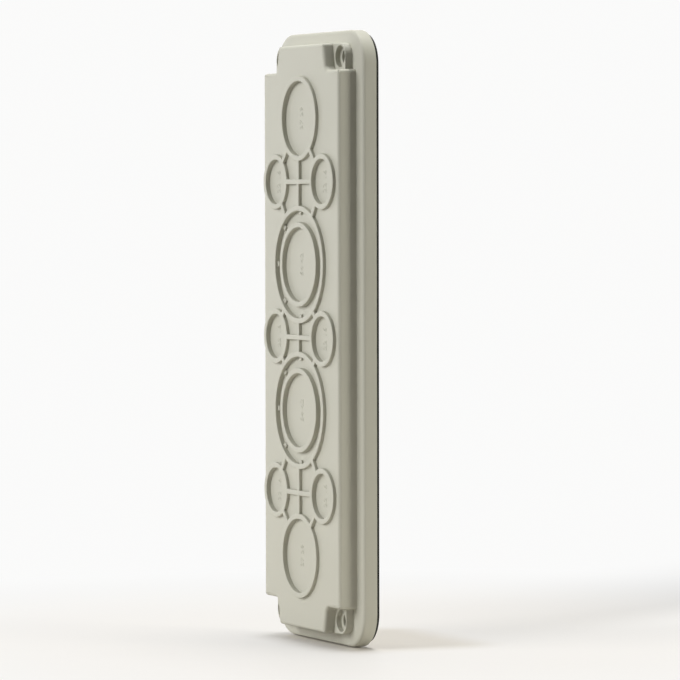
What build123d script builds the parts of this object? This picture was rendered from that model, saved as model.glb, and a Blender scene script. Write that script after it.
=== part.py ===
from build123d import *
import math
import os

# Cable entry wall plate: a moulded plastic cover for the cable opening in an enclosure's wall, with
# a seal let into its back edge. It is drawn lying on its back, X across, Y along, Z out to the front,
# and is stood upright at the end: +Z up, front to -Y, origin in the middle of the seal's back face.

# Flange that lies on the enclosure's wall; its front slopes back from the plateau to its edge
FLANGE_WIDTH = 103.7
FLANGE_LENGTH = 313.0
FLANGE_CORNER_R = 17.5
FLANGE_EDGE_DEPTH = 7.4
FLANGE_SLOPE = 1.1
FLANGE_EDGE_CHAMFER = 0.9

# Raised plateau, a hollow tray with a notch at each corner and a tab between the notches
SIDE_STRIP = 6.3
END_STRIP = 6.5
PLATEAU_RISE = 9.8
PLATEAU_EDGE_CHAMFER = 1.0
PLATEAU_CORNER_R = 1.8
DRAFT_ANGLE = 1.5
WALL = 3.0
POCKET_CORNER_R = 2.0
NOTCH_CORNER_R = 3.0
TAB_TAPER_ANGLE = 10.0

# Screw pads in the notches, and the material left on each side of a screw head
SCREW_FROM_SIDE = 16.5
SCREW_FROM_END = 13.5
SCREW_HOLE_D = 6.6
COUNTERBORE_D = 11.0
COUNTERBORE_DEPTH = 2.75
PAD_RISE = 4.15
PAD_SIDE_WALL = 0.7
PAD_END_WALL = 1.3
PAD_TAB_GAP = 1.3
PAD_SHOULDER_GAP = 1.0

# Knock-outs: small pairs between larger ones, two of which break out at either of two sizes
SMALL_D = 22.9
MEDIUM_D = 38.0
LARGE_D = 55.0
RING_TO_END = 15.9
RING_TO_SIDE = 3.5
PAIR_TO_SINGLE = 32.4
RING_WIDTH = 2.8
RING_RISE = 1.75
RECESS_DEPTH = 0.7
RIB_WIDTH = 2.6
NIB_COUNT = 8
NIB_WIDTH = 2.8
NIB_LENGTH = 2.0
NIB_RISE = 1.1
BREAK_WEB = 0.9
BREAK_GROOVE = 1.6

# Seal in a channel behind the flange
RIM_WALL = 1.5
CHANNEL_DEPTH = 4.0
SEAL_WIDTH = 5.0
SEAL_PROUD = 1.85
SEAL_CLEARANCE = 0.05

# How near a corner or an edge must be to the place it is looked for at
PICKING_GAP = 0.001

# Levels out from the wall
back = SEAL_PROUD
flange_edge = back + FLANGE_EDGE_DEPTH
flange_front = flange_edge + FLANGE_SLOPE
face = flange_front + PLATEAU_RISE
ring_top = face + RING_RISE
recess_floor = face - RECESS_DEPTH
inside_face = face - WALL
pad_top = flange_front + PAD_RISE

# Screws, and the half sizes of the plateau where it meets the flange
screw_x = FLANGE_WIDTH / 2 - SCREW_FROM_SIDE
screw_y = FLANGE_LENGTH / 2 - SCREW_FROM_END
half_width = FLANGE_WIDTH / 2 - SIDE_STRIP
half_length = FLANGE_LENGTH / 2 - END_STRIP
slope_width = max(SIDE_STRIP, END_STRIP)
shoulder = screw_y - COUNTERBORE_D / 2 - PAD_SHOULDER_GAP
tab_slope = math.tan(math.radians(TAB_TAPER_ANGLE))
tab_beside_screw = screw_x - COUNTERBORE_D / 2 - PAD_TAB_GAP
tab_root = tab_beside_screw + (screw_y - shoulder) * tab_slope
tab_tip = tab_beside_screw - (half_length - screw_y) * tab_slope

# Centres of the knock-outs: four evenly spaced along the middle, with pairs beside them
single_y = half_length - RING_TO_END - RING_WIDTH - MEDIUM_D / 2
double_y = single_y / 3
pair_x = half_width - RING_TO_SIDE - RING_WIDTH - SMALL_D / 2
pair_y = single_y - PAIR_TO_SINGLE
single_spots = [(0, single_y), (0, -single_y)]
double_spots = [(0, double_y), (0, -double_y)]
small_spots = [(x, y) for y in (pair_y, 0, -pair_y) for x in (-pair_x, pair_x)]
screw_spots = [(x, y) for x in (-screw_x, screw_x) for y in (-screw_y, screw_y)]


def corners_at(outline, x, y):
    """The corners of an outline that lie this far across and along from the plate's middle."""
    return [
        v for v in outline.vertices()
        if abs(abs(v.X) - x) < PICKING_GAP and abs(abs(v.Y) - y) < PICKING_GAP
    ]


def plateau_outline(inset, outer_r, inner_r):
    """The tray's outline, brought in by inset, with rounded outer and re-entrant corners."""
    w = half_width - inset
    s = shoulder - inset
    e = half_length - inset
    root = tab_root - inset
    tip = tab_tip - inset
    quarter = [(w, s), (root, s), (tip, e)]
    points = quarter + [(-x, y) for x, y in reversed(quarter)]
    points += [(-x, -y) for x, y in quarter] + [(x, -y) for x, y in reversed(quarter)]
    outline = make_face(Polyline(*points, close=True))
    outline = fillet(corners_at(outline, root, s), inner_r)
    outline = fillet(corners_at(outline, w, s), outer_r)
    return fillet(corners_at(outline, tip, e), outer_r)


def flange_outline(inset):
    """The flange's outline, brought in by inset."""
    return RectangleRounded(
        FLANGE_WIDTH - 2 * inset, FLANGE_LENGTH - 2 * inset, FLANGE_CORNER_R - inset
    )


def raised(sketch, low, high, taper=0.0):
    """A sketch given thickness from one level to another."""
    return extrude(Plane.XY.offset(low) * sketch, high - low, taper=taper)


def disc(spot, diameter, low, high):
    """A round solid centred on a spot."""
    return raised(Pos(*spot) * Circle(diameter / 2), low, high)


def bar(start, end, low, high):
    """A straight rib between two spots."""
    dx = end[0] - start[0]
    dy = end[1] - start[1]
    turn = math.degrees(math.atan2(dy, dx))
    middle = ((start[0] + end[0]) / 2, (start[1] + end[1]) / 2)
    strip = Pos(*middle) * Rot(0, 0, turn) * Rectangle(math.hypot(dx, dy), RIB_WIDTH)
    return raised(strip, low, high)


def stand_up(solid):
    """Turns the plate from lying on its back to standing upright, front to -Y."""
    return Rot(90, 0, 0) * solid


def flange():
    """The flange as a solid slab, with its front sloped and its front edge broken."""
    slab = raised(flange_outline(0), back, flange_front)
    front = slab.faces().sort_by(Axis.Z)[-1]
    slab = chamfer(front.edges(), slope_width, FLANGE_SLOPE, reference=front)
    rim = slab.edges().filter_by_position(Axis.Z, flange_edge - PICKING_GAP, flange_edge + PICKING_GAP)
    return chamfer(rim, FLANGE_EDGE_CHAMFER)


def shell():
    """Flange and plateau as one hollow shell, with the seal's channel cut into its back."""
    outline = plateau_outline(0, PLATEAU_CORNER_R, NOTCH_CORNER_R)
    plateau = raised(outline, flange_front, face, taper=DRAFT_ANGLE)
    plateau = chamfer(plateau.edges().group_by(Axis.Z)[-1], PLATEAU_EDGE_CHAMFER)
    body = flange() + plateau + raised(outline, flange_edge, flange_front)
    for spot in screw_spots:
        body += screw_pad(spot)
    pocket = raised(
        plateau_outline(WALL, POCKET_CORNER_R, NOTCH_CORNER_R + WALL), back, inside_face
    )
    return body - pocket - channel()


def screw_pad(spot):
    """A pad that fills a notch out to a round outer corner."""
    outer_x = screw_x + COUNTERBORE_D / 2 + PAD_SIDE_WALL
    outer_y = screw_y + COUNTERBORE_D / 2 + PAD_END_WALL
    inner_x = tab_tip - WALL / 2
    inner_y = shoulder - WALL / 2
    middle = ((inner_x + outer_x) / 2, (inner_y + outer_y) / 2)
    pad = Pos(*middle) * Rectangle(outer_x - inner_x, outer_y - inner_y)
    pad = fillet(corners_at(pad, outer_x, outer_y), COUNTERBORE_D / 2 + PAD_SIDE_WALL)
    if spot[0] < 0:
        pad = mirror(pad, Plane.YZ)
    if spot[1] < 0:
        pad = mirror(pad, Plane.XZ)
    return raised(pad, flange_front - WALL / 2, pad_top)


def channel():
    """The groove in the flange's back that the seal is pressed into."""
    groove_width = SEAL_WIDTH + 2 * SEAL_CLEARANCE
    band = flange_outline(RIM_WALL) - flange_outline(RIM_WALL + groove_width)
    return raised(band, back, back + CHANNEL_DEPTH)


def ring_web():
    """Rings round the knock-outs and the ribs that tie them together, as one raised pattern."""
    low = face - WALL / 2
    rings = [disc(spot, SMALL_D + 2 * RING_WIDTH, low, ring_top) for spot in small_spots]
    rings += [disc(spot, MEDIUM_D + 2 * RING_WIDTH, low, ring_top) for spot in single_spots]
    rings += [disc(spot, LARGE_D + 2 * RING_WIDTH, low, ring_top) for spot in double_spots]
    spine = single_spots[:1] + double_spots + single_spots[1:]
    ribs = [bar(a, b, low, ring_top) for a, b in zip(spine, spine[1:])]
    pairs = zip(small_spots[::2], small_spots[1::2])
    ribs += [bar(a, b, low, ring_top) for a, b in pairs]
    for small in small_spots:
        for large in spine:
            if abs(large[1] - small[1]) < single_y - double_y:
                ribs.append(bar(small, large, low, ring_top))
    web = rings[0]
    for piece in rings[1:] + ribs:
        web += piece
    return web


def knockout_recess(spot, diameter):
    """The round hollow in front of a knock-out disc."""
    return disc(spot, diameter, recess_floor, ring_top)


def break_groove(spot, diameter):
    """The sharp groove behind a disc's edge that leaves a thin web to break."""
    web = recess_floor - BREAK_WEB
    depth = web - inside_face
    cone = Cone(diameter / 2 - BREAK_GROOVE, diameter / 2, depth)
    return disc(spot, diameter, inside_face, web) - Pos(*spot, inside_face + depth / 2) * cone


def nibs(spot):
    """Small steps on the inside of a large ring, set evenly round it."""
    inner_r = LARGE_D / 2 - NIB_LENGTH
    outer_r = LARGE_D / 2 + RING_WIDTH / 2
    step = Pos((inner_r + outer_r) / 2, 0) * Rectangle(outer_r - inner_r, NIB_WIDTH)
    low = recess_floor - BREAK_WEB / 2
    high = recess_floor + NIB_RISE
    turns = [i * 360 / NIB_COUNT for i in range(NIB_COUNT)]
    return [raised(Pos(*spot) * Rot(0, 0, turn) * step, low, high) for turn in turns]


def entry_plate():
    """The whole moulding: shell, rings and ribs, knock-out discs and screw holes."""
    body = shell() + ring_web()
    for spot in small_spots:
        body -= knockout_recess(spot, SMALL_D)
        body -= break_groove(spot, SMALL_D)
    for spot in single_spots:
        body -= knockout_recess(spot, MEDIUM_D)
        body -= break_groove(spot, MEDIUM_D)
    for spot in double_spots:
        body -= knockout_recess(spot, LARGE_D)
        body += disc(spot, MEDIUM_D + 2 * RING_WIDTH, recess_floor - BREAK_WEB / 2, ring_top)
        body -= knockout_recess(spot, MEDIUM_D)
        for nib in nibs(spot):
            body += nib
        body -= break_groove(spot, LARGE_D)
        body -= break_groove(spot, MEDIUM_D)
    for spot in screw_spots:
        body -= disc(spot, SCREW_HOLE_D, back, pad_top)
        body -= disc(spot, COUNTERBORE_D, pad_top - COUNTERBORE_DEPTH, pad_top)
    return body


def sealing_gasket():
    """The soft seal, one closed frame that stands out of the channel to meet the wall."""
    outer = RIM_WALL + SEAL_CLEARANCE
    band = flange_outline(outer) - flange_outline(outer + SEAL_WIDTH)
    return raised(band, 0, back + CHANNEL_DEPTH)


os.makedirs("parts", exist_ok=True)
export_step(stand_up(entry_plate()), "parts/entry_plate.step")
export_step(stand_up(sealing_gasket()), "parts/sealing_gasket.step")
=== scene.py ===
import bmesh
import bpy
import math
from mathutils import Matrix, Vector


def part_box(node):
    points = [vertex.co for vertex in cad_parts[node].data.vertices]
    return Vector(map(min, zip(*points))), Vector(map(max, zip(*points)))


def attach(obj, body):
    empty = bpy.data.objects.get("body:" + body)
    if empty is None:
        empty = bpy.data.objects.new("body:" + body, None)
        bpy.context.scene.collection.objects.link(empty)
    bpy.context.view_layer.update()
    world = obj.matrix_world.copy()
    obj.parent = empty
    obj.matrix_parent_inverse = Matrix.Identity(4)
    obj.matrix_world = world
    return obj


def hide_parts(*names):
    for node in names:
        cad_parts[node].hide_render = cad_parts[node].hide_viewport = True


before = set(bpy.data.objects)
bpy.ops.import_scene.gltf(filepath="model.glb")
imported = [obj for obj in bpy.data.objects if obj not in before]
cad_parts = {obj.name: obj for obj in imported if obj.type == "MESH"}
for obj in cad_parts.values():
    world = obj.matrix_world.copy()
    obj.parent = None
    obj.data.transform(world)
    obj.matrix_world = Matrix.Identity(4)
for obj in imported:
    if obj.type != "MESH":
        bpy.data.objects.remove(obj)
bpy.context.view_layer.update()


# Entry plate: one injection moulding in warm grey thermoplastic, hollow behind, with its knock-out
# discs still in place. Every outside edge of the tool is broken a little, so the edges catch the
# light. It is screwed to the wall through the pads in its corner notches.

EDGE_ROUND = 0.00065        # round on the flange's and the plateau's chamfered edges
RIM_ROUND = 0.00036         # round on the square edges of rings, ribs, pads and holes, and behind
ROUND_STEPS = 2
SAME_POINT = 1e-6           # points closer than this are merged
FLAT_TURN = 0.4             # degrees; faces that meet at less than this are one flat face
CHAMFER_TURN = 25.0         # degrees; an outside edge that turns more is rounded
SQUARE_TURN = 60.0          # degrees; an outside edge that turns more is a square rim
HOLLOW_TURN = -35.0         # degrees; an inside edge that turns further in stays sharp
LOOKS_BACK = 0.9            # a face whose normal has more Y than this looks backwards
PLATE_GREY = (0.478, 0.472, 0.402, 1.0)
PLATE_GREY_PALE = (0.502, 0.496, 0.426, 1.0)
PLATE_GLOSS = 0.14          # specular level
PLATE_ROUGHNESS = 0.40
SPECK_ROUGHNESS = 0.10      # added in the specks
FLOW_ROUGHNESS = 0.06       # added in the clouds of the flow
FLOW_SCALE = 38.0           # waves to the metre, as are the two below
SPECK_SCALE = 900.0
GRAIN_SCALE = 2600.0
GRAIN_DEPTH = 0.00008
GRAIN_STRENGTH = 0.10
MAIN_SHARE = 0.7            # of the stronger pattern, where speck is mixed in
SPECK_SHARE = 0.3


class Wire:
    """An output socket of a shader tree, with the sums that join it to other values."""

    def __init__(self, tree, socket):
        self.tree = tree
        self.socket = socket

    def node(self, kind, settings=None, inputs=None, out=0):
        """Adds a node of any type, sets it up, feeds its inputs and returns one of its outputs."""
        made = self.tree.nodes.new(kind)
        for name, value in (settings or {}).items():
            setattr(made, name, value)
        for name, value in (inputs or {}).items():
            if isinstance(value, Wire):
                self.tree.links.new(value.socket, made.inputs[name])
            else:
                made.inputs[name].default_value = value
        return Wire(self.tree, made.outputs[out])

    def sum(self, operation, first, second):
        return self.node("ShaderNodeMath", {"operation": operation}, {0: first, 1: second})

    def __add__(self, other):
        return self.sum("ADD", self, other)

    def __radd__(self, other):
        return self.sum("ADD", other, self)

    def __rsub__(self, other):
        return self.sum("SUBTRACT", other, self)

    def __mul__(self, other):
        return self.sum("MULTIPLY", self, other)

    def larger(self, other):
        """The larger of two values."""
        return self.sum("MAXIMUM", self, other)

    def vector(self, operation, *others, out="Vector"):
        """A sum of vectors, this one first."""
        fed = dict(enumerate((self, *others)))
        return self.node("ShaderNodeVectorMath", {"operation": operation}, fed, out)

    def noise(self, scale, detail):
        """A noise pattern at this place."""
        fed = {"Vector": self, "Scale": scale, "Detail": detail}
        return self.node("ShaderNodeTexNoise", None, fed)

    def blend(self, low, high):
        """A colour between two, by this value."""
        fed = {"Factor": self, "A": low, "B": high}
        return self.node("ShaderNodeMix", {"data_type": "RGBA"}, fed, 2)

    def span(self, low, high, new_low, new_high):
        """This value carried from one range to another, eased and held at the ends."""
        fed = {"Value": self, 1: low, 2: high, 3: new_low, 4: new_high}
        return self.node("ShaderNodeMapRange", {"interpolation_type": "SMOOTHSTEP"}, fed)


def finish_named(name):
    """A new material: its shader, and the place on the piece in metres to pattern it by."""
    made = bpy.data.materials.new(name)
    made.use_nodes = True
    tree = made.node_tree
    place = Wire(tree, tree.nodes.new("ShaderNodeTexCoord").outputs["Object"])
    return made, tree.nodes["Principled BSDF"], place


def feed(shader, socket, wire):
    """Joins a varying value to one of a shader's sockets."""
    wire.tree.links.new(wire.socket, shader.inputs[socket])


def moulded_grey():
    """Warm grey plastic: faint cloudy flow in its colour and the fine satin grain of the tool."""
    made, shader, place = finish_named("moulded_grey")
    flow = place.noise(FLOW_SCALE, detail=4.0)
    speck = place.noise(SPECK_SCALE, detail=2.0)
    grain = place.noise(GRAIN_SCALE, detail=3.0)
    tone = flow * MAIN_SHARE + speck * SPECK_SHARE
    feed(shader, "Base Color", tone.blend(PLATE_GREY, PLATE_GREY_PALE))
    feed(shader, "Roughness", PLATE_ROUGHNESS + speck * SPECK_ROUGHNESS + flow * FLOW_ROUGHNESS)
    bump = place.node("ShaderNodeBump", None, {
        "Strength": GRAIN_STRENGTH,
        "Distance": GRAIN_DEPTH,
        "Height": grain * MAIN_SHARE + speck * SPECK_SHARE,
    })
    feed(shader, "Normal", bump)
    shader.inputs["Specular IOR Level"].default_value = PLATE_GLOSS
    return made


def rounded_moulding():
    """The plate's own mesh, merged, with each outside edge weighted for how far it is rounded."""
    mesh = bpy.data.meshes.new("moulded_plate")
    bm = bmesh.new()
    bm.from_mesh(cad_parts["entry_plate"].data)
    bmesh.ops.remove_doubles(bm, verts=bm.verts, dist=SAME_POINT)
    flat = math.radians(FLAT_TURN)
    bmesh.ops.dissolve_limit(bm, angle_limit=flat, verts=bm.verts, edges=bm.edges)
    many_sided = [face for face in bm.faces if len(face.verts) > 4]
    bmesh.ops.triangulate(bm, faces=many_sided, quad_method="BEAUTY", ngon_method="BEAUTY")
    weight = bm.edges.layers.float.new("bevel_weight_edge")
    for edge in bm.edges:
        turn = math.degrees(edge.calc_face_angle_signed(0.0))
        behind = any(face.normal.y > LOOKS_BACK for face in edge.link_faces)
        if turn > SQUARE_TURN or (turn > CHAMFER_TURN and behind):
            edge[weight] = RIM_ROUND / EDGE_ROUND
        elif turn > CHAMFER_TURN:
            edge[weight] = 1.0
        edge.smooth = turn > HOLLOW_TURN
    for face in bm.faces:
        face.smooth = True
    bm.to_mesh(mesh)
    bm.free()
    return mesh


def new_object(name, data):
    """An object in the scene."""
    made = bpy.data.objects.new(name, data)
    bpy.context.collection.objects.link(made)
    return made


plate = new_object("moulded_plate", rounded_moulding())
rounding = plate.modifiers.new("edge_rounding", "BEVEL")
rounding.limit_method = "WEIGHT"
rounding.width = EDGE_ROUND
rounding.segments = ROUND_STEPS
rounding.use_clamp_overlap = False
rounding.loop_slide = False
normals = plate.modifiers.new("flat_faces", "WEIGHTED_NORMAL")
normals.keep_sharp = True
plate_finish = moulded_grey()
plate.data.materials.append(plate_finish)
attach(plate, "root")
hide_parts("entry_plate")


# Size marks: the knock-outs' nominal diameters in millimetres, raised by an engraved tool on the
# discs, so they are the same plastic as the plate. They read upwards and stand out only a hair.

DISC_FACE = -0.01945        # front of the knock-out discs
MARK_RISE = 0.00012
MARK_SUNK = 0.00006
MARK_HEIGHT = 0.0052        # of a line of type; the digits are 0.7 of it
SINGLE_SPOTS = [(0.0, 0.1123), (0.0, -0.1123)]
DOUBLE_SPOTS = [(0.0, 0.03743), (0.0, -0.03743)]
SMALL_SPOTS = [(x, z) for z in (0.0799, 0.0, -0.0799) for x in (-0.0278, 0.0278)]
MARKS = [("22 16", SMALL_SPOTS), ("37 29", SINGLE_SPOTS), ("54 42", DOUBLE_SPOTS)]


class Shaping:
    """A Geometry Nodes tree with named inputs for its sizes."""

    def __init__(self, name, inputs):
        self.tree = bpy.data.node_groups.new(name, "GeometryNodeTree")
        face = self.tree.interface
        self.sockets = {}
        for label, kind in inputs.items():
            self.sockets[label] = face.new_socket(label, in_out="INPUT", socket_type=kind)
        face.new_socket("Geometry", in_out="OUTPUT", socket_type="NodeSocketGeometry")
        self.given = self.tree.nodes.new("NodeGroupInput").outputs

    def node(self, kind, settings=None, inputs=None, out=0):
        """Adds a node of any type; an input may be a value, a socket or a list of sockets."""
        made = self.tree.nodes.new(kind)
        for name, value in (settings or {}).items():
            setattr(made, name, value)
        for name, value in (inputs or {}).items():
            for source in value if isinstance(value, list) else [value]:
                if isinstance(source, bpy.types.NodeSocket):
                    self.tree.links.new(source, made.inputs[name])
                else:
                    made.inputs[name].default_value = source
        return made.outputs[out]

    def raised(self, flat, rise):
        """A flat shape made into a closed low solid."""
        top = self.node("GeometryNodeExtrudeMesh", None, {
            "Mesh": flat, "Offset Scale": rise, "Individual": False})
        under = self.node("GeometryNodeFlipFaces", None, {"Mesh": flat})
        both = self.node("GeometryNodeJoinGeometry", None, {"Geometry": [top, under]})
        return self.node("GeometryNodeMergeByDistance", None, {
            "Geometry": both, "Distance": SAME_POINT})

    def close(self, shape, material):
        """Ends the tree: instances made real and the material set."""
        real = self.node("GeometryNodeRealizeInstances", None, {"Geometry": shape})
        done = self.node("GeometryNodeSetMaterial", None, {"Geometry": real, "Material": material})
        self.tree.links.new(done, self.tree.nodes.new("NodeGroupOutput").inputs[0])

    def piece(self, name, start, values):
        """Runs the tree on a starting mesh and returns the result as a plain mesh object."""
        made = new_object(name, start)
        modifier = made.modifiers.new("shaping", "NODES")
        modifier.node_group = self.tree
        for label, value in values.items():
            modifier[self.sockets[label].identifier] = value
        made.update_tag()
        bpy.context.view_layer.update()
        ready = made.evaluated_get(bpy.context.evaluated_depsgraph_get())
        mesh = bpy.data.meshes.new_from_object(ready)
        made.modifiers.remove(modifier)
        made.data = mesh
        mesh.name = name
        return made


def raised_numbers():
    """Raised figures, one text for each kind of disc, stood on the points of that kind."""
    shaping = Shaping("raised_numbers", {
        "Discs": "NodeSocketGeometry",
        "Height": "NodeSocketFloat",
        "Rise": "NodeSocketFloat",
        "Plastic": "NodeSocketMaterial",
    })
    given = shaping.given
    kind = shaping.node("GeometryNodeInputNamedAttribute", {"data_type": "INT"}, {"Name": "mark"})
    upright = Matrix(((0, -1, 0), (0, 0, -1), (1, 0, 0))).to_euler()
    placed = []
    for number, (words, _) in enumerate(MARKS):
        letters = shaping.node(
            "GeometryNodeStringToCurves",
            {"align_x": "CENTER", "align_y": "MIDDLE"},
            {"String": words, "Size": given["Height"]},
        )
        flat = shaping.node("GeometryNodeFillCurve", None, {"Curve": letters})
        flat = shaping.node("GeometryNodeRealizeInstances", None, {"Geometry": flat})
        whole = shaping.raised(flat, given["Rise"])
        here = shaping.node(
            "FunctionNodeCompare",
            {"data_type": "INT", "operation": "EQUAL"},
            {2: kind, 3: number},
        )
        placed.append(shaping.node("GeometryNodeInstanceOnPoints", None, {
            "Points": given["Discs"], "Selection": here, "Instance": whole, "Rotation": upright}))
    together = shaping.node("GeometryNodeJoinGeometry", None, {"Geometry": placed})
    shaping.close(together, given["Plastic"])
    return shaping


middles = bpy.data.meshes.new("disc_middles")
spots = [(x, DISC_FACE + MARK_SUNK, z) for _, here in MARKS for x, z in here]
middles.from_pydata(spots, [], [])
kinds = middles.attributes.new("mark", "INT", "POINT")
kinds.data.foreach_set("value", [n for n, (_, here) in enumerate(MARKS) for spot in here])
numbers = raised_numbers().piece("size_marks", middles, {
    "Height": MARK_HEIGHT, "Rise": MARK_RISE + MARK_SUNK, "Plastic": plate_finish})
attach(numbers, "root")


# Ejector marks: the round ends of the pins that push the plate out of its tool leave low discs on
# the floor behind, between the knock-outs. They are the same plastic, a third of a millimetre high.

TRAY_FLOOR = -0.01715       # floor of the hollow behind
PIN_RADIUS = 0.0035
PIN_SIDES = 40
PIN_RISE = 0.0003
PIN_SUNK = 0.00006
PIN_SPOTS = [(x, z) for z in (0.1145, 0.0505, -0.0505, -0.1145) for x in (-0.0345, 0.0345)]
PIN_SPOTS += [(0.0, z) for z in (0.0790, 0.0, -0.0790)]


def pin_discs():
    """Low round discs that stand on points and rise backwards."""
    shaping = Shaping("pin_discs", {
        "Spots": "NodeSocketGeometry",
        "Radius": "NodeSocketFloat",
        "Rise": "NodeSocketFloat",
        "Plastic": "NodeSocketMaterial",
    })
    given = shaping.given
    flat = shaping.node("GeometryNodeMeshCircle", {"fill_type": "NGON"}, {
        "Vertices": PIN_SIDES, "Radius": given["Radius"]})
    disc = shaping.raised(flat, given["Rise"])
    backwards = Matrix.Rotation(math.radians(-90.0), 3, "X").to_euler()
    placed = shaping.node("GeometryNodeInstanceOnPoints", None, {
        "Points": given["Spots"], "Instance": disc, "Rotation": backwards})
    shaping.close(placed, given["Plastic"])
    return shaping


pins = bpy.data.meshes.new("pin_spots")
pins.from_pydata([(x, TRAY_FLOOR - PIN_SUNK, z) for x, z in PIN_SPOTS], [], [])
marks_behind = pin_discs().piece("ejector_marks", pins, {
    "Radius": PIN_RADIUS, "Rise": PIN_RISE + PIN_SUNK, "Plastic": plate_finish})
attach(marks_behind, "root")


# Sealing gasket: one closed frame of black closed-cell foam rubber, cut nearly square on its edges
# and pressed into the channel behind the flange. It stands out of it to meet the wall.

SEAL_LOW, SEAL_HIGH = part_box("sealing_gasket")
SEAL_WIDTH = 0.005
SEAL_CORNER = 0.01595       # round of its outer corners
SEAL_CORNER_STEPS = 16
SEAL_EDGE = 0.00015         # round of its cut edges
SEAL_EDGE_STEPS = 3
SEAL_SHARP_TURN = 40.0      # degrees; an edge that turns more stays sharp
FOAM_BLACK = (0.010, 0.010, 0.009, 1.0)
FOAM_GREY = (0.024, 0.024, 0.022, 1.0)
FOAM_GLOSS = 0.2            # specular level
FOAM_ROUGHNESS = 0.78
MOTTLE_ROUGHNESS = 0.14     # added where the mottle is pale
MOTTLE_SCALE = 300.0
CELL_SCALE = 2200.0         # cells to the metre
CELL_EDGE = (0.10, 0.45)    # from a pore's middle out to its wall
PORE_DEPTH = 0.0002
PORE_STRENGTH = 0.5
PORE_SHARE = 0.6            # of the pores in the colour
MOTTLE_SHARE = 0.4


def black_foam():
    """Closed-cell foam: fine pores cut open at the surface, a little greyer between them."""
    made, shader, place = finish_named("black_foam")
    cell = place.node("ShaderNodeTexVoronoi", None, {"Vector": place, "Scale": CELL_SCALE})
    mottle = place.noise(MOTTLE_SCALE, detail=3.0)
    pore = cell.span(*CELL_EDGE, 0.0, 1.0)
    tone = pore * PORE_SHARE + mottle * MOTTLE_SHARE
    feed(shader, "Base Color", tone.blend(FOAM_BLACK, FOAM_GREY))
    feed(shader, "Roughness", FOAM_ROUGHNESS + mottle * MOTTLE_ROUGHNESS)
    bump = place.node("ShaderNodeBump", None, {
        "Strength": PORE_STRENGTH, "Distance": PORE_DEPTH, "Height": pore})
    feed(shader, "Normal", bump)
    shader.inputs["Specular IOR Level"].default_value = FOAM_GLOSS
    return made


def foam_frame():
    """A strip of foam led round a rectangle with round corners, stood up in its channel."""
    shaping = Shaping("foam_frame", {
        "Across": "NodeSocketFloat",
        "Along": "NodeSocketFloat",
        "Corner": "NodeSocketFloat",
        "Width": "NodeSocketFloat",
        "Depth": "NodeSocketFloat",
        "Edge": "NodeSocketFloat",
        "Foam": "NodeSocketMaterial",
    })
    given = shaping.given
    path = shaping.node("GeometryNodeCurvePrimitiveQuadrilateral", None, {
        "Width": given["Across"], "Height": given["Along"]})
    path = shaping.node("GeometryNodeFilletCurve", {"mode": "POLY"}, {
        "Curve": path, "Count": SEAL_CORNER_STEPS, "Radius": given["Corner"]})
    path = shaping.node("GeometryNodeSetCurveNormal", {"mode": "Z_UP"}, {"Curve": path})
    cut = shaping.node("GeometryNodeCurvePrimitiveQuadrilateral", None, {
        "Width": given["Width"], "Height": given["Depth"]})
    cut = shaping.node("GeometryNodeFilletCurve", {"mode": "POLY"}, {
        "Curve": cut, "Count": SEAL_EDGE_STEPS, "Radius": given["Edge"]})
    swept = shaping.node("GeometryNodeCurveToMesh", None, {"Curve": path, "Profile Curve": cut})
    upright = Matrix.Rotation(math.radians(90.0), 3, "X").to_euler()
    middle = (SEAL_LOW + SEAL_HIGH) / 2
    stood = shaping.node("GeometryNodeTransform", None, {
        "Geometry": swept, "Translation": middle, "Rotation": upright})
    shaping.close(stood, given["Foam"])
    return shaping


gasket = foam_frame().piece("sealing_gasket_foam", bpy.data.meshes.new("empty"), {
    "Across": SEAL_HIGH.x - SEAL_LOW.x - SEAL_WIDTH,
    "Along": SEAL_HIGH.z - SEAL_LOW.z - SEAL_WIDTH,
    "Corner": SEAL_CORNER - SEAL_WIDTH / 2,
    "Width": SEAL_WIDTH,
    "Depth": SEAL_HIGH.y - SEAL_LOW.y,
    "Edge": SEAL_EDGE,
    "Foam": black_foam(),
})
gasket.data.shade_smooth()
gasket.data.set_sharp_from_angle(angle=math.radians(SEAL_SHARP_TURN))
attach(gasket, "root")
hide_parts("sealing_gasket")


# Floor: a sheet of pale paper that the plate stands on, on its lower end. Round the plate's foot it
# shows as it is lit, and further off it goes over into the white of the studio. A long soft shadow
# of the plate is painted on that white, behind it.

FLOOR_GAP = 0.0004          # a dark hairline under the plate
FLOOR_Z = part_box("entry_plate")[0].z - FLOOR_GAP
FLOOR_REACH = 6.0
FLOOR_PALE = (0.62, 0.583, 0.527, 1.0)
FLOOR_FAR = (0.10, 0.10, 0.10, 1.0)
PAPER_ROUGHNESS = 0.46
FIBRE_ROUGHNESS = 0.08      # added along the fibres
FIBRE_SCALE = 60.0
STUDIO_WHITE = (0.96, 0.96, 0.955, 1.0)
FOOT_MIDDLE = (0.0075, 0.0184, FLOOR_Z)     # of the box that the white keeps clear of
FOOT_HALF = (0.0355, 0.0246, 0.0)
WHITENS_NEAR = (0.0, 0.032)         # distances from that box over which the white first comes in,
WHITENS_FAR = (0.08, 0.38)          # over which the rest of it follows,
DARKENS = (0.20, 0.55)              # and over which the paper under it goes dark
WHITE_NEAR = 0.54                   # share of the white that comes in first
# Painted shadow of the plate on the white behind it: its turn, depth and edges.
SHADE_TURN = math.radians(27.3)     # of the painted shadow, to the left of straight back
SHADE_DEPTH = 0.38
SHADE_RIGHT = (-0.0945, -0.0254)    # metres across the painted shadow, over its firm edge
SHADE_LEFT = (-0.175, 0.14)         # and over its soft one
SHADE_START = (-0.10, 0.26)         # metres along the painted shadow
SHADE_END = (0.5, 1.0)


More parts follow.
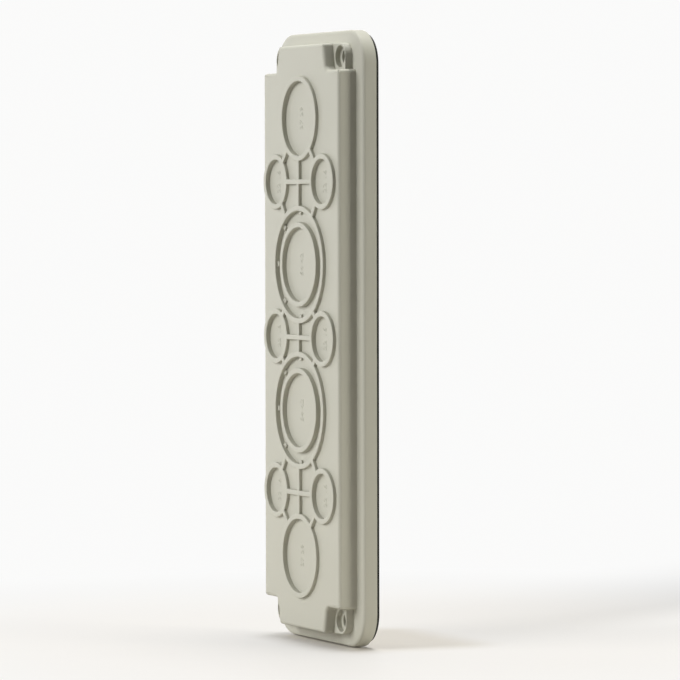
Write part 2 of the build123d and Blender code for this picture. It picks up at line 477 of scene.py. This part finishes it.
def looked_at(tree):
    """One for the rays that show a thing to the camera, straight, mirrored or through glass."""
    rays = tree.nodes.new("ShaderNodeLightPath").outputs
    straight = Wire(tree, rays["Is Camera Ray"])
    mirrored = Wire(tree, rays["Is Glossy Ray"])
    through = Wire(tree, rays["Is Transmission Ray"])
    return straight.larger(mirrored).larger(through)


def painted_long_shadow(place):
    """How far the plate's painted shadow darkens the white at a place on the floor."""
    sine, cosine = math.sin(SHADE_TURN), math.cos(SHADE_TURN)
    across = place.vector("DOT_PRODUCT", (-cosine, -sine, 0.0), out="Value")
    along = place.vector("DOT_PRODUCT", (-sine, cosine, 0.0), out="Value")
    band = across.span(*SHADE_RIGHT, 0.0, 1.0) * across.span(*SHADE_LEFT, 1.0, 0.0)
    return band * along.span(*SHADE_START, 0.0, SHADE_DEPTH) * along.span(*SHADE_END, 1.0, 0.0)


def pale_paper():
    """Paper near the foot, and white that only the camera sees further off, with a painted shadow
    in it.
    """
    made, shader, place = finish_named("pale_paper")
    tree = made.node_tree
    fibre = place.noise(FIBRE_SCALE, detail=3.0)
    away = place.vector("SUBTRACT", FOOT_MIDDLE).vector("ABSOLUTE")
    away = away.vector("SUBTRACT", FOOT_HALF).vector("MAXIMUM", (0.0, 0.0, 0.0))
    far = away.vector("LENGTH", out="Value")
    feed(shader, "Base Color", far.span(*DARKENS, 0.0, 1.0).blend(FLOOR_PALE, FLOOR_FAR))
    feed(shader, "Roughness", PAPER_ROUGHNESS + fibre * FIBRE_ROUGHNESS)
    white = tree.nodes.new("ShaderNodeEmission")
    white.inputs["Color"].default_value = STUDIO_WHITE
    # The white is dimmed where the plate's shadow is painted on it.
    feed(white, "Strength", 1.0 - painted_long_shadow(place))
    near_white = far.span(*WHITENS_NEAR, 0.0, WHITE_NEAR)
    far_white = far.span(*WHITENS_FAR, 0.0, 1.0 - WHITE_NEAR)
    mix = tree.nodes.new("ShaderNodeMixShader")
    feed(mix, 0, (near_white + far_white) * looked_at(tree))
    tree.links.new(shader.outputs[0], mix.inputs[1])
    tree.links.new(white.outputs[0], mix.inputs[2])
    tree.links.new(mix.outputs[0], tree.nodes["Material Output"].inputs[0])
    return made


sheet = bpy.data.meshes.new("floor")
signs = [(-1, -1), (1, -1), (1, 1), (-1, 1)]
corners = [(x * FLOOR_REACH, y * FLOOR_REACH, FLOOR_Z) for x, y in signs]
sheet.from_pydata(corners, [], [(0, 1, 2, 3)])
floor = new_object("floor", sheet)
floor.data.materials.append(pale_paper())


# Camera: at the photograph's place, a long lens 2.2 m off to the plate's right, a little above its
# middle and turned a hair so that the plate stands left of centre.

CAMERA_AT = Vector((1.9642, -0.9345, 0.0714))
TOWARDS_PLATE = Vector((-0.90667, 0.42183, 0.0))
PICTURE_RIGHT = Vector((0.42183, 0.90667, 0.0))
YAW = 0.0095
PITCH = 0.03358
ROLL = math.radians(0.11)
SENSOR = 36.0               # millimetres across
FOCAL_PIXELS = 4223.0
PICTURE_PIXELS = 680.0

lens = bpy.data.cameras.new("camera")
lens.sensor_width = SENSOR
lens.lens = SENSOR * FOCAL_PIXELS / PICTURE_PIXELS
lens.clip_end = 50.0
camera = new_object("camera", lens)
ahead = (TOWARDS_PLATE + YAW * PICTURE_RIGHT + Vector((0, 0, -PITCH))).normalized()
right = ahead.cross(Vector((0, 0, 1))).normalized()
up = right.cross(ahead)
tilted_right = right * math.cos(ROLL) - up * math.sin(ROLL)
tilted_up = up * math.cos(ROLL) + right * math.sin(ROLL)
turned = Matrix((tilted_right, tilted_up, -ahead)).transposed().to_4x4()
camera.matrix_world = Matrix.Translation(CAMERA_AT) @ turned
bpy.context.scene.camera = camera


# Light: a large soft lamp high in front of the plate, a weak one low on its left, a small one above
# and a little behind, and a warm one behind on its right. The white backdrop adds a little from
# behind and above, and the side that the camera stands on is dark.

NEUTRAL = (1.0, 1.0, 1.0)
WARM = (1.0, 0.985, 0.905)
BACKDROP_WAY = 0.6 * TOWARDS_PLATE + Vector((0.0, 0.0, 0.8))
BACKDROP_EDGE = (0.45, 0.95)    # cosines from that way, from the backdrop's rim to its full light
BACKDROP_LIGHT = 0.24


def soft_lamp(name, place, width, height, power, colour=NEUTRAL):
    """A flat soft lamp that faces the plate's middle."""
    lamp = bpy.data.lights.new(name, "AREA")
    lamp.shape = "RECTANGLE"
    lamp.size = width
    lamp.size_y = height
    lamp.energy = power
    lamp.color = colour
    made = new_object(name, lamp)
    made.location = place
    made.rotation_euler = (-Vector(place)).to_track_quat("-Z", "Y").to_euler()


soft_lamp("front_lamp", place=(-0.50, -3.59, 1.69), width=2.4, height=2.2, power=135.0)
soft_lamp("left_lamp", place=(-1.52, -0.49, 0.11), width=1.1, height=0.8, power=7.2)
soft_lamp("top_lamp", place=(-0.08, 0.25, 1.60), width=0.8, height=0.6, power=23.5)
soft_lamp("side_lamp", place=(1.15, 1.07, 0.31), width=0.5, height=0.6, power=13.6, colour=WARM)

world = bpy.data.worlds.new("studio")
bpy.context.scene.world = world
world.use_nodes = True
studio = world.node_tree
backdrop = studio.nodes["Background"]
backdrop.inputs["Color"].default_value = STUDIO_WHITE
way = Wire(studio, studio.nodes.new("ShaderNodeTexCoord").outputs["Generated"])
to_backdrop = way.vector("DOT_PRODUCT", BACKDROP_WAY, out="Value")
cast = to_backdrop.span(*BACKDROP_EDGE, 0.0, BACKDROP_LIGHT)
feed(backdrop, "Strength", cast.larger(looked_at(studio)))

bpy.context.scene.view_settings.view_transform = "Standard"
